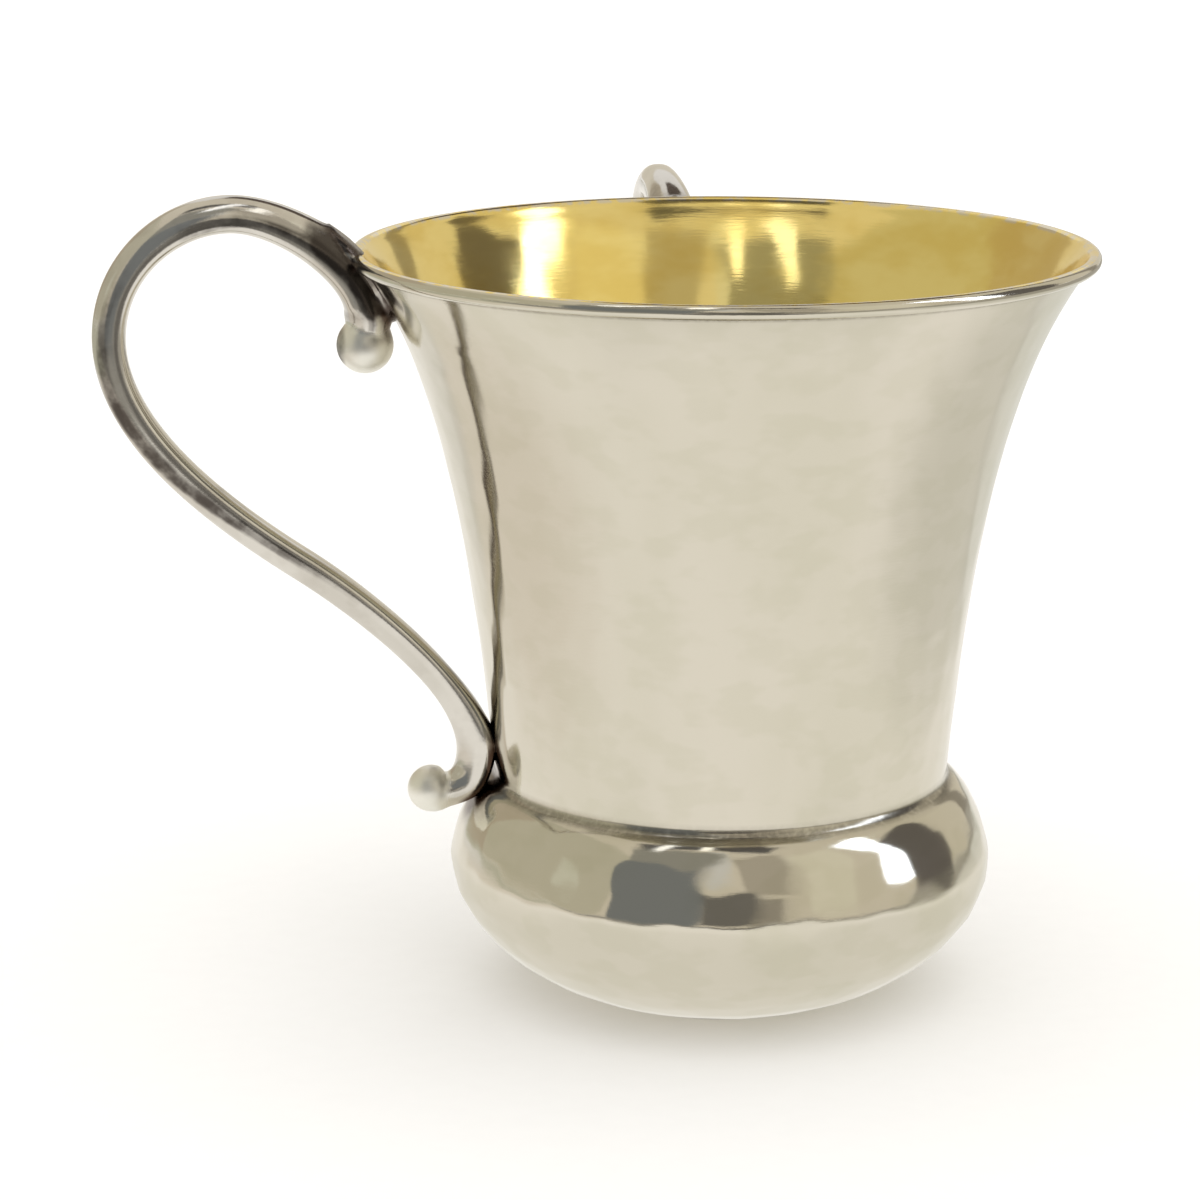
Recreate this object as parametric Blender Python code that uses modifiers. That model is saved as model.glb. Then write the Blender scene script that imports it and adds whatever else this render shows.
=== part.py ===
"""Two-handled washing cup in hammered silver: a raised vessel and two cast scroll handles.

The frame has its origin on the cup's axis, at the flat that it stands on, with +Z up.
The side handle points along -X and the back handle along +Y, a quarter turn apart.
Lengths are in metres; a profile point is (radius from the axis, height).
"""

import math

import bmesh
import bpy
from mathutils import Vector

MM = 0.001

# --- The cup ---------------------------------------------------------------------------------
WALL_THICKNESS = 1.0 * MM
BEAD_RADIUS = 1.1 * MM            # the lip is rolled outwards into a small bead
LIP_RADIUS = 56.8 * MM            # to the centre of the bead
LIP_HEIGHT = 117.4 * MM
LIP_SLOPE = math.radians(53.0)    # how steeply the wall falls away from the lip
LIP_REACH = 20.0 * MM             # length of the flare's pull on the wall's curve
WAIST_RADIUS = 35.9 * MM
WAIST_HEIGHT = 35.2 * MM
WAIST_LEAN = math.radians(5.0)    # the wall's lean from upright where it meets the crease
WAIST_REACH = 39.0 * MM
CREASE_RADIUS = 1.2 * MM          # the tight hollow between the wall and the bulge
SHOULDER_TURN = math.radians(66.0)
SHOULDER_REACH = 3.0 * MM
BULGE_RADIUS = 42.8 * MM
BULGE_HEIGHT = 21.0 * MM
BULGE_REACH_UP = 4.4 * MM
BULGE_REACH_DOWN = 9.8 * MM
BASE_RADIUS = 19.0 * MM           # the flat that the cup stands on
BASE_RISE = math.radians(6.0)    # slope of the underside where it leaves the flat
BASE_REACH = 11.8 * MM
TURN_STEPS = 48
WALL_STEPS = 10
CREASE_STEPS = 3
SHOULDER_STEPS = 5
UNDERSIDE_STEPS = 7
BEAD_STEPS = 9

# --- The handles -----------------------------------------------------------------------------
# Each knot of the scroll: radius, height, heading (degrees, 0 outwards and 90 up),
# reach of the curve before and after the knot, and thickness seen from the side.
UPPER_TIP = (55.6, 104.1, 99.0, 0.0, 2.2, 5.6)
SEAT_UNDER_LIP = (55.0, 109.2, 92.0, 2.0, 6.6, 7.5)
ARCH_CROWN = (75.9, 124.6, 0.0, 8.7, 9.1, 5.7)
WIDEST_POINT = (94.6, 105.4, -90.0, 11.5, 14.5, 5.2)
LONG_SLOPE = (65.9, 69.7, -146.0, 14.8, 7.5, 5.0)
FOOT_OF_SLOPE = (45.6, 51.9, -130.0, 8.8, 5.8, 4.7)
SEAT_AT_WAIST = (39.1, 39.2, -90.0, 3.8, 4.6, 6.0)
CURLED_TAIL = (46.2, 32.8, 16.0, 4.6, 0.0, 5.2)
WIDTH_RATIO = 1.2                 # the strap is this much wider than it is thick
UPPER_BALL = (55.6, 104.1, 4.4)   # radius, height, ball radius
LOWER_BALL = (46.2, 32.8, 3.7)
SEAT_GAP = 0.3 * MM               # solder gap between a handle and the cup
SIDE_HANDLE_HEADING = math.radians(180.0)
BACK_HANDLE_HEADING = math.radians(90.0)
BACK_CROWN_DROP = 6.0             # millimetres: the back handle's arch is bent lower
STRAP_SIDES_RESOLUTION = 4
STRAP_STEPS = 7
BALL_SEGMENTS = 16
BALL_RINGS = 10


def clear_scene():
    """Remove every object, so that the model starts from nothing."""
    for leftover in list(bpy.data.objects):
        bpy.data.objects.remove(leftover, do_unlink=True)


def new_collection(name):
    collection = bpy.data.collections.new(name)
    bpy.context.scene.collection.children.link(collection)
    return collection


def new_material(name, colour, roughness, metallic):
    material = bpy.data.materials.new(name)
    material.use_nodes = True
    shader = material.node_tree.nodes["Principled BSDF"]
    shader.inputs["Base Color"].default_value = (*colour, 1.0)
    shader.inputs["Roughness"].default_value = roughness
    shader.inputs["Metallic"].default_value = metallic
    return material


def smooth_by_angle(mesh, degrees):
    mesh.shade_smooth()
    mesh.set_sharp_from_angle(angle=math.radians(degrees))


def heading(angle):
    """Unit vector in the profile plane: 0 points outwards, a quarter turn points up."""
    return Vector((math.cos(angle), math.sin(angle)))


def bezier(start, start_pull, end_pull, end, steps):
    """Points along a cubic curve, without its first point."""
    points = []
    for step in range(1, steps + 1):
        t = step / steps
        s = 1.0 - t
        points.append(
            start * s**3
            + start_pull * (3.0 * s * s * t)
            + end_pull * (3.0 * s * t * t)
            + end * t**3
        )
    return points


def arc(centre, radius, start, end, steps):
    """Points along an arc, without its first point."""
    turn = end - start
    return [centre + heading(start + turn * step / steps) * radius for step in range(1, steps + 1)]


def outer_side():
    """The cup's outer profile from the centre of the lip's bead down to the edge of the flat."""
    lip = Vector((LIP_RADIUS, LIP_HEIGHT))
    waist = Vector((WAIST_RADIUS, WAIST_HEIGHT))
    bulge = Vector((BULGE_RADIUS, BULGE_HEIGHT))
    base = Vector((BASE_RADIUS, 0.0))
    straight_up = Vector((0.0, 1.0))

    lip_pull = lip - heading(LIP_SLOPE) * LIP_REACH
    waist_pull = waist + heading(math.pi / 2 - WAIST_LEAN) * WAIST_REACH
    points = [lip]
    points += bezier(lip, lip_pull, waist_pull, waist, WALL_STEPS)

    crease_start = math.pi - WAIST_LEAN
    crease_centre = waist - heading(crease_start) * CREASE_RADIUS
    crease_end = math.pi + SHOULDER_TURN
    points += arc(crease_centre, CREASE_RADIUS, crease_start, crease_end, CREASE_STEPS)

    shoulder = points[-1]
    shoulder_pull = shoulder + heading(SHOULDER_TURN - math.pi / 2) * SHOULDER_REACH
    bulge_pull = bulge + straight_up * BULGE_REACH_UP
    points += bezier(shoulder, shoulder_pull, bulge_pull, bulge, SHOULDER_STEPS)

    underside_pull = bulge - straight_up * BULGE_REACH_DOWN
    base_pull = base + heading(BASE_RISE) * BASE_REACH
    points += bezier(bulge, underside_pull, base_pull, base, UNDERSIDE_STEPS)
    return points


def moved_sideways(points, distance):
    """The profile moved along its own normals: positive distances go out from the metal."""
    moved = []
    for index, point in enumerate(points):
        before = points[max(index - 1, 0)]
        after = points[min(index + 1, len(points) - 1)]
        along = (after - before).normalized()
        moved.append(point + Vector((-along.y, along.x)) * distance)
    return moved


def beyond_bead(points, bead_radius):
    """The points of a wall that lie clear of the lip's bead."""
    lip = Vector((LIP_RADIUS, LIP_HEIGHT))
    return [point for point in points if (point - lip).length > bead_radius * 1.2]


def turned_object(name, profile, collection, material):
    """Turn a profile about the Z axis into a closed solid."""
    mesh = bpy.data.meshes.new(name)
    vertices = [(point.x, 0.0, point.y) for point in profile]
    edges = [(index, index + 1) for index in range(len(profile) - 1)]
    mesh.from_pydata(vertices, edges, [])
    mesh.materials.append(material)
    turned = bpy.data.objects.new(name, mesh)
    collection.objects.link(turned)
    screw = turned.modifiers.new("Turn", "SCREW")
    screw.steps = TURN_STEPS
    screw.render_steps = TURN_STEPS
    screw.use_merge_vertices = True
    screw.merge_threshold = 0.00001
    screw.use_smooth_shade = True
    return turned


def build_cup(collection, material):
    """The vessel: hollow, with one wall thickness from the lip to the middle of the floor."""
    outside = outer_side()
    inside = moved_sideways(outside, -WALL_THICKNESS)
    inside[-1].y = WALL_THICKNESS
    lip = outside[0]
    roll_start = LIP_SLOPE + math.pi / 2
    roll_end = LIP_SLOPE - math.pi
    bead = arc(lip, BEAD_RADIUS, roll_start, roll_end, BEAD_STEPS)
    past_bead = beyond_bead(outside, BEAD_RADIUS)
    below_bead = beyond_bead(inside, BEAD_RADIUS)
    profile = [Vector((0.0, WALL_THICKNESS))]
    profile += reversed(below_bead)
    profile.append(lip + heading(roll_start) * BEAD_RADIUS)
    profile += bead
    profile += past_bead
    profile.append(Vector((0.0, 0.0)))
    return turned_object("cup_body", profile, collection, material)


def build_seat_cutter(name, collection, material):
    """The cup's outer form, a solder gap larger all round, which shapes a handle's seats."""
    swollen = moved_sideways(outer_side(), SEAT_GAP)
    lip = Vector((LIP_RADIUS, LIP_HEIGHT))
    roll = BEAD_RADIUS + SEAT_GAP
    roll_end = LIP_SLOPE - math.pi + math.asin(SEAT_GAP / roll)
    bead = arc(lip, roll, math.pi / 2, roll_end, BEAD_STEPS)
    past_bead = beyond_bead(swollen, roll)
    profile = [Vector((0.0, LIP_HEIGHT + roll)), Vector((LIP_RADIUS, LIP_HEIGHT + roll))]
    profile += bead
    profile += past_bead
    profile.append(Vector((0.0, -SEAT_GAP)))
    cutter = turned_object(name, profile, collection, material)
    cutter.hide_render = True
    cutter.display_type = "WIRE"
    return cutter


def scroll_knots(crown_drop):
    """The knots of one handle, with its arch bent down by crown_drop millimetres."""
    crown = (ARCH_CROWN[0], ARCH_CROWN[1] - crown_drop, *ARCH_CROWN[2:])
    widest = (WIDEST_POINT[0], WIDEST_POINT[1] - crown_drop / 2.0, *WIDEST_POINT[2:])
    slope = [LONG_SLOPE, FOOT_OF_SLOPE, SEAT_AT_WAIST, CURLED_TAIL]
    return [UPPER_TIP, SEAT_UNDER_LIP, crown, widest, *slope]


def strap_mesh(name, knots):
    """The tapered S of the handle as a closed mesh in the XZ plane, +X outwards."""
    curve = bpy.data.curves.new(name, "CURVE")
    curve.dimensions = "3D"
    curve.bevel_depth = 0.5 * MM
    curve.bevel_resolution = STRAP_SIDES_RESOLUTION
    curve.resolution_u = STRAP_STEPS
    curve.use_fill_caps = True
    spline = curve.splines.new("BEZIER")
    spline.bezier_points.add(len(knots) - 1)
    for knot, (radius, height, angle, reach_in, reach_out, thickness) in zip(
        spline.bezier_points, knots
    ):
        centre = Vector((radius, 0.0, height)) * MM
        along = Vector((math.cos(math.radians(angle)), 0.0, math.sin(math.radians(angle))))
        knot.handle_left_type = "FREE"
        knot.handle_right_type = "FREE"
        knot.co = centre
        knot.handle_left = centre - along * max(reach_in, 0.1) * MM
        knot.handle_right = centre + along * max(reach_out, 0.1) * MM
        knot.radius = thickness
    tube = bpy.data.objects.new(name, curve)
    bpy.context.scene.collection.objects.link(tube)
    bpy.context.view_layer.update()
    evaluated = tube.evaluated_get(bpy.context.evaluated_depsgraph_get())
    mesh = bpy.data.meshes.new_from_object(evaluated)
    bpy.data.objects.remove(tube, do_unlink=True)

    form = bmesh.new()
    form.from_mesh(mesh)
    bmesh.ops.remove_doubles(form, verts=form.verts, dist=0.01 * MM)
    bmesh.ops.scale(form, verts=form.verts, vec=(1.0, WIDTH_RATIO, 1.0))
    bmesh.ops.recalc_face_normals(form, faces=form.faces)
    form.to_mesh(mesh)
    form.free()
    return mesh


def ball_mesh(name, ball):
    radius, height, size = ball
    form = bmesh.new()
    bmesh.ops.create_uvsphere(form, u_segments=BALL_SEGMENTS, v_segments=BALL_RINGS, radius=size * MM)
    bmesh.ops.translate(form, verts=form.verts, vec=Vector((radius, 0.0, height)) * MM)
    mesh = bpy.data.meshes.new(name)
    form.to_mesh(mesh)
    form.free()
    return mesh


def hidden_tool(name, mesh, collection, turn, material):
    mesh.materials.clear()
    mesh.materials.append(material)
    tool = bpy.data.objects.new(name, mesh)
    tool.rotation_euler.z = turn
    tool.hide_render = True
    tool.display_type = "WIRE"
    collection.objects.link(tool)
    return tool


def add_boolean(target, name, tool, operation):
    boolean = target.modifiers.new(name, "BOOLEAN")
    boolean.object = tool
    boolean.operation = operation
    boolean.solver = "EXACT"


def build_handle(name, turn, crown_drop, seat_cutter, collection, cutters, material):
    """One cast handle: a tapered scroll with a ball on each end, filed to sit on the cup."""
    mesh = strap_mesh(name, scroll_knots(crown_drop))
    mesh.materials.clear()
    mesh.materials.append(material)
    handle = bpy.data.objects.new(name, mesh)
    handle.rotation_euler.z = turn
    collection.objects.link(handle)
    for label, ball in (("upper_ball", UPPER_BALL), ("lower_ball", LOWER_BALL)):
        tool_name = f"{name}_{label}"
        tool = hidden_tool(tool_name, ball_mesh(tool_name, ball), cutters, turn, material)
        add_boolean(handle, label, tool, "UNION")
    add_boolean(handle, "seats", seat_cutter, "DIFFERENCE")
    smooth_by_angle(mesh, 50.0)
    return handle


def main():
    clear_scene()
    parts = new_collection("washing_cup")
    cutters = new_collection("washing_cup_cutters")
    raised_silver = new_material("raised_silver", (0.80, 0.76, 0.70), 0.16, 1.0)
    cast_silver = new_material("cast_silver", (0.72, 0.70, 0.66), 0.22, 1.0)
    build_cup(parts, raised_silver)
    seat_cutter = build_seat_cutter("seat_cutter", cutters, cast_silver)
    build_handle("handle_side", SIDE_HANDLE_HEADING, 0.0, seat_cutter, parts, cutters, cast_silver)
    build_handle(
        "handle_back", BACK_HANDLE_HEADING, BACK_CROWN_DROP, seat_cutter, parts, cutters, cast_silver
    )


main()
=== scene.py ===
"""A two-handled washing cup in hammered silver, gilt inside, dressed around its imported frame.

The vessel is raised from sheet and planished all over, its lip is rolled into a bead, and
two cast scroll handles are soldered on a quarter turn apart. Lengths are in metres, +Z is
up, and a profile point is (radius from the axis, height).
"""

import logging
import math
from dataclasses import dataclass, field
from enum import Enum

import bpy
import numpy as np
from mathutils import Matrix, Vector

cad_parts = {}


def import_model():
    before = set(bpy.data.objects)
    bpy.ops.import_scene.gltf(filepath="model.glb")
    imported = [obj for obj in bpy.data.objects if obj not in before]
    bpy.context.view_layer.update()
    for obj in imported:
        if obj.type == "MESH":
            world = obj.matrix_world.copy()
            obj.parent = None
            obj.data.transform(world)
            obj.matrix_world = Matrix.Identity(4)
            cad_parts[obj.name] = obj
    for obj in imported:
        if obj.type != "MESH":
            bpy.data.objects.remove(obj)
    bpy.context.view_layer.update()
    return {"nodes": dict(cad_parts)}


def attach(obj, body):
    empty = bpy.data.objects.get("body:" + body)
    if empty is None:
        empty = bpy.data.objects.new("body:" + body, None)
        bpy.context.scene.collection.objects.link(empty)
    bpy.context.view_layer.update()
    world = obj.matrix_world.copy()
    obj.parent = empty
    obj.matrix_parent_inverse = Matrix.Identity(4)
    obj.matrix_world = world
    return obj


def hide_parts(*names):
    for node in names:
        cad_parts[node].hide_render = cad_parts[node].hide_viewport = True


LOG = logging.getLogger("washing_cup")
MM = 0.001
BODY = "root"
BAKE_MAP = "OFBake"
FIRST_COLOUR, SECOND_COLOUR, MIXED_COLOUR = 6, 7, 2
MATCH_BATCH = 2000

Colour = tuple[float, float, float]
Stretch = tuple[float, float, float]
Span = tuple[float, float]


# --- Lines and forms -------------------------------------------------------------------------


def heading(angle: float) -> np.ndarray:
    """Unit vector in the profile plane for an angle in radians, 0 outwards and 90 degrees up."""
    return np.array([math.cos(angle), math.sin(angle)])


def bezier(
    start: np.ndarray, pull: np.ndarray, push: np.ndarray, end: np.ndarray, steps: int
) -> np.ndarray:
    """Points along a cubic curve, without its first point.

    Args:
        start: First point.
        pull: Control point after the first point.
        push: Control point before the last point.
        end: Last point.
        steps: How many points to return.

    Returns:
        An array of points, one a row.
    """
    t = np.linspace(0.0, 1.0, steps + 1)[1:, None]
    s = 1.0 - t
    return start * s**3 + pull * (3.0 * s * s * t) + push * (3.0 * s * t * t) + end * t**3


def arc(centre: np.ndarray, radius: float, start: float, end: float, steps: int) -> np.ndarray:
    """Points along an arc in the profile plane, from one angle to another, without its first point."""
    angles = np.linspace(start, end, steps + 1)[1:]
    return centre + radius * np.stack([np.cos(angles), np.sin(angles)], axis=1)


def travelled(points: np.ndarray) -> np.ndarray:
    """Distance along a line of points, from 0 at its first point."""
    steps = np.linalg.norm(np.diff(points, axis=0), axis=1)
    return np.concatenate([[0.0], np.cumsum(steps)])


def respaced(points: np.ndarray, spacing: float) -> np.ndarray:
    """The same line with its points set at even distances.

    Args:
        points: A line with closely set points.
        spacing: The distance wanted between points.

    Returns:
        The line's new points, with the same two ends.
    """
    distance = travelled(points)
    count = max(2, round(distance[-1] / spacing) + 1)
    at = np.linspace(0.0, distance[-1], count)
    return np.stack([np.interp(at, distance, points[:, axis]) for axis in (0, 1)], axis=1)


def tangents(points: np.ndarray) -> np.ndarray:
    """Unit vectors along a line of points."""
    along = np.gradient(points, axis=0)
    return along / np.linalg.norm(along, axis=1)[:, None]


def turned_left(vectors: np.ndarray) -> np.ndarray:
    """Vectors in the profile plane, turned a quarter turn anticlockwise."""
    return np.stack([-vectors[:, 1], vectors[:, 0]], axis=1)


def sideways(points: np.ndarray) -> np.ndarray:
    """Unit normals of a profile line, pointing out of the metal where the line runs downwards."""
    return turned_left(tangents(points))


def eased(values: np.ndarray, low: float, high: float) -> np.ndarray:
    """A smooth step from 0 at low to 1 at high."""
    t = np.clip((values - low) / (high - low), 0.0, 1.0)
    return t * t * (3.0 - 2.0 * t)


def faded(values: np.ndarray, full: float, gone: float) -> np.ndarray:
    """A smooth step down from 1 at full to 0 at gone."""
    return 1.0 - eased(values, full, gone)


def apart(points: np.ndarray, place: np.ndarray) -> np.ndarray:
    """How far each point is from one place."""
    return np.linalg.norm(points - place, axis=1)


def nearest_on(line: np.ndarray, points: np.ndarray) -> np.ndarray:
    """Which of a line's points is nearest to each point, found batch by batch.

    Args:
        line: The line's points.
        points: The points to match to it.

    Returns:
        The number of a point of the line for each point.
    """
    nearest = np.empty(len(points), dtype=np.int64)
    for start in range(0, len(points), MATCH_BATCH):
        part = slice(start, start + MATCH_BATCH)
        nearest[part] = np.argmin(((points[part, None] - line[None]) ** 2).sum(axis=2), axis=1)
    return nearest


def angles_round(count: int) -> np.ndarray:
    """Even angles round a full turn, in radians from 0."""
    return np.arange(count) * 2.0 * math.pi / count


def turned_rings(radius: np.ndarray, height: np.ndarray, columns: int) -> np.ndarray:
    """Rings of points about the upright axis.

    Args:
        radius: A row for each ring, with one radius or one for each of its points.
        height: A row for each ring, with one height or one for each of its points.
        columns: Number of points on each ring.

    Returns:
        The points, a row for each ring.
    """
    angle = angles_round(columns)
    x, y, z = np.broadcast_arrays(radius * np.cos(angle), radius * np.sin(angle), height)
    return np.stack([x, y, z], axis=-1)


def ring_mesh(name: str, rings: np.ndarray, poles: list[np.ndarray]) -> bpy.types.Mesh:
    """A closed mesh over a grid of rings, with a fan of triangles over each end.

    Args:
        name: Name of the mesh.
        rings: Points, a row for each ring.
        poles: The point in the middle of the first ring's fan, and of the last ring's.

    Returns:
        The mesh, with its faces outwards where the rings run clockwise.
    """
    rows, columns = rings.shape[:2]
    corners = [(column, (column + 1) % columns) for column in range(columns)]
    faces = []
    for above in range(0, (rows - 1) * columns, columns):
        below = above + columns
        faces += [(above + here, below + here, below + after, above + after) for here, after in corners]
    first_pole, last_pole = rows * columns, rows * columns + 1
    last = (rows - 1) * columns
    for here, after in corners:
        faces.append((first_pole, here, after))
        faces.append((last + here, last_pole, last + after))
    mesh = bpy.data.meshes.new(name)
    mesh.from_pydata(np.concatenate([rings.reshape(-1, 3), poles]).tolist(), [], faces)
    return mesh


def vectors_of(items: bpy.types.bpy_prop_collection, name: str) -> np.ndarray:
    """Read a vector that every item of a mesh holds.

    Args:
        items: The mesh's items, such as its vertices.
        name: Name of the vector.

    Returns:
        The vectors, one a row.
    """
    flat = np.empty(len(items) * 3)
    items.foreach_get(name, flat)
    return flat.reshape(-1, 3)


def put_in_scene(name: str, data: bpy.types.ID) -> bpy.types.Object:
    """Make an object and put it in the scene.

    Args:
        name: Name of the object.
        data: Its mesh, lamp or camera.

    Returns:
        The object.
    """
    thing = bpy.data.objects.new(name, data)
    bpy.context.scene.collection.objects.link(thing)
    return thing


def add_float_attribute(mesh: bpy.types.Mesh, name: str, values: np.ndarray) -> None:
    """Store one number for each vertex, for the finishes to read."""
    attribute = mesh.attributes.new(name, "FLOAT", "POINT")
    attribute.data.foreach_set("value", values.astype(np.float32))


def lay_map(mesh: bpy.types.Mesh, corners: np.ndarray) -> None:
    """Give the mesh its texture map, with one point for each face corner."""
    layer = mesh.uv_layers.new(name=BAKE_MAP)
    layer.data.foreach_set("uv", corners.astype(np.float32).ravel())


# --- Finishes --------------------------------------------------------------------------------


class NodeBench:
    """Builds the shader of one material, node by node."""

    def __init__(self, name: str) -> None:
        """Start a plain material.

        Args:
            name: Name of the material.
        """
        self.material = bpy.data.materials.new(name)
        self.material.use_nodes = True
        self.nodes = self.material.node_tree.nodes
        self.links = self.material.node_tree.links
        self.shader = self.nodes["Principled BSDF"]

    def feed(self, node: bpy.types.Node, inputs: dict[str | int, object]) -> None:
        """Give a node its inputs: an output socket is linked, and a plain value is set.

        Args:
            node: The node.
            inputs: What each input takes, by the input's name or number.
        """
        for name, value in inputs.items():
            socket = node.inputs[name]
            if isinstance(value, bpy.types.NodeSocket):
                self.links.new(value, socket)
            elif socket.type == "RGBA":
                socket.default_value = (*value, 1.0)
            else:
                socket.default_value = value

    def add(self, kind: str, inputs: dict[str | int, object], **settings: object) -> bpy.types.Node:
        """Add a node.

        Args:
            kind: Blender's name for the node's type.
            inputs: What its inputs take, by name or number.
            settings: Its other properties.

        Returns:
            The node.
        """
        node = self.nodes.new(kind)
        for name, value in settings.items():
            setattr(node, name, value)
        self.feed(node, inputs)
        return node

    def noise(
        self, stretch: Stretch, detail: float = 3.0, roughness: float = 0.6
    ) -> bpy.types.NodeSocket:
        """A cloudy pattern that lies fixed in the piece.

        Args:
            stretch: How many clouds there are to a metre along each axis.
            detail: How many finer layers there are.
            roughness: How strong each finer layer is.

        Returns:
            The socket of the pattern, from about 0 to 1.
        """
        place = self.add("ShaderNodeTexCoord", {}).outputs["Object"]
        stretched = self.add("ShaderNodeMapping", {"Vector": place, "Scale": stretch}).outputs["Vector"]
        inputs = {"Vector": stretched, "Scale": 1.0, "Detail": detail, "Roughness": roughness}
        return self.add("ShaderNodeTexNoise", inputs).outputs["Fac"]

    def span(
        self, value: bpy.types.NodeSocket, low: float, high: float, bottom: float = 0.0, top: float = 1.0
    ) -> bpy.types.NodeSocket:
        """The value carried smoothly from low..high to bottom..top, and held there beyond them."""
        inputs = {"Value": value, "From Min": low, "From Max": high, "To Min": bottom, "To Max": top}
        return self.add("ShaderNodeMapRange", inputs, interpolation_type="SMOOTHSTEP").outputs["Result"]

    def plus(self, first: object, second: object) -> bpy.types.NodeSocket:
        """The sum of two values."""
        return self.add("ShaderNodeMath", {0: first, 1: second}, operation="ADD").outputs["Value"]

    def times(self, first: object, second: object) -> bpy.types.NodeSocket:
        """The product of two values."""
        return self.add("ShaderNodeMath", {0: first, 1: second}, operation="MULTIPLY").outputs["Value"]

    def blend(self, share: object, first: object, second: object) -> bpy.types.NodeSocket:
        """A colour that goes from the first to the second as the share grows."""
        inputs = {"Factor": share, FIRST_COLOUR: first, SECOND_COLOUR: second}
        return self.add("ShaderNodeMix", inputs, data_type="RGBA").outputs[MIXED_COLOUR]

    def mark(self, name: str) -> bpy.types.NodeSocket:
        """A number that was stored on the mesh."""
        return self.add("ShaderNodeAttribute", {}, attribute_name=name).outputs["Fac"]

    def relief(self, height: bpy.types.NodeSocket, depth: float, strength: float) -> bpy.types.NodeSocket:
        """A normal that shows a relief of 0 to 1, whose depth is in metres."""
        inputs = {"Strength": strength, "Distance": depth, "Height": height}
        return self.add("ShaderNodeBump", inputs).outputs["Normal"]

    def bare_metal(self, colour: object, roughness: object, normal: object) -> bpy.types.Material:
        """Finish the material as a bare metal.

        Args:
            colour: Its colour.
            roughness: Its roughness.
            normal: Its normal.

        Returns:
            The finished material.
        """
        inputs = {"Base Color": colour, "Roughness": roughness, "Normal": normal, "Metallic": 1.0}
        self.feed(self.shader, inputs)
        return self.material


@dataclass(frozen=True)
class SilverFinish:
    """Polished silver with the soft tarnish and hairlines of a cup in use, also darkened by painted shade
    where the pieces mark it.
    """

    name: str
    colour: Colour
    dulled: Colour
    # The tarnish and grime colours paint both the real marks and the painted shade that the pieces store.
    tarnish_and_shade: Colour
    grime_and_shade: Colour
    satin: Colour
    roughness: float
    cloud_stretch: Stretch
    facet_stretch: Stretch
    patchiness: float
    hairline_stretch: Stretch
    hairline_depth: float
    dull_share: float = 0.55
    roughness_spread: Span = (0.8, 1.35)
    smear_stretch: Stretch = (260.0, 260.0, 260.0)
    speck_stretch: Stretch = (900.0, 900.0, 900.0)
    satin_roughness: float = 0.30
    grime_roughness: float = 0.22
    hairline_roughness: float = 0.04
    hairline_strength: float = 0.6

    def make(self) -> bpy.types.Material:
        """Build the material.

        Returns:
            The finished material.
        """
        bench = NodeBench(self.name)
        clouds = bench.noise(self.cloud_stretch, roughness=0.55)
        facets = bench.noise(self.facet_stretch, detail=2.0, roughness=0.5)
        smears = bench.noise(self.smear_stretch)
        specks = bench.noise(self.speck_stretch, detail=2.0)
        hairlines = bench.noise(self.hairline_stretch, detail=4.0, roughness=0.7)
        brushed = bench.mark("satin")
        crevice = bench.mark("crevice")

        patchy = bench.span(facets, 0.44, 0.62, top=self.patchiness)
        dullness = bench.plus(bench.span(clouds, 0.42, 0.68, top=self.dull_share), patchy)
        metal = bench.blend(dullness, self.colour, self.dulled)
        metal = bench.blend(brushed, metal, self.satin)
        # Darken by the stored tarnish mark: real tarnish, with painted shade and painted dark reflections.
        stain_and_shade = bench.times(bench.mark("tarnish_and_shade"), bench.span(smears, 0.3, 0.65, bottom=0.8, top=1.15))
        metal = bench.blend(bench.span(stain_and_shade, 0.12, 0.85), metal, self.tarnish_and_shade)
        # Darken by the stored crevice mark: grime in the hollows, with painted shade there.
        crevice_dirt_and_shade = bench.times(crevice, bench.span(specks, 0.25, 0.6, bottom=0.55))
        metal = bench.blend(crevice_dirt_and_shade, metal, self.grime_and_shade)

        smooth, rough = (self.roughness * share for share in self.roughness_spread)
        worn = bench.span(clouds, 0.35, 0.7, bottom=smooth, top=rough)
        scuffed = bench.plus(worn, bench.span(hairlines, 0.5, 0.75, top=self.hairline_roughness))
        matt = bench.plus(scuffed, bench.times(brushed, self.satin_roughness))
        matt = bench.plus(matt, bench.times(crevice, self.grime_roughness))
        relief = bench.relief(hairlines, self.hairline_depth, self.hairline_strength)
        return bench.bare_metal(metal, matt, relief)


@dataclass(frozen=True)
class GiltFinish:
    """Fire gilding over silver, thinner where it has been rubbed."""

    name: str
    gold: Colour
    deep_gold: Colour
    silver: Colour
    roughness: float
    roughness_spread: Span = (0.85, 1.4)
    cloud_stretch: Stretch = (55.0, 55.0, 110.0)
    nibble_stretch: Stretch = (420.0, 420.0, 420.0)
    ring_stretch: Stretch = (160.0, 160.0, 2600.0)
    ring_roughness: float = 0.05
    ring_depth: float = 0.00002
    ring_strength: float = 0.5

    def make(self) -> bpy.types.Material:
        """Build the material.

        Returns:
            The finished material.
        """
        bench = NodeBench(self.name)
        clouds = bench.noise(self.cloud_stretch)
        nibbles = bench.noise(self.nibble_stretch)
        rings = bench.noise(self.ring_stretch, roughness=0.65)
        metal = bench.blend(bench.span(clouds, 0.38, 0.66), self.gold, self.deep_gold)
        rubbed = bench.times(bench.mark("rubbed"), bench.span(nibbles, 0.3, 0.6, bottom=0.5, top=1.4))
        metal = bench.blend(bench.span(rubbed, 0.35, 0.75), metal, self.silver)
        smooth, rough = (self.roughness * share for share in self.roughness_spread)
        worn = bench.span(clouds, 0.3, 0.7, bottom=smooth, top=rough)
        worn = bench.plus(worn, bench.span(rings, 0.5, 0.75, top=self.ring_roughness))
        return bench.bare_metal(metal, worn, bench.relief(rings, self.ring_depth, self.ring_strength))


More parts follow.
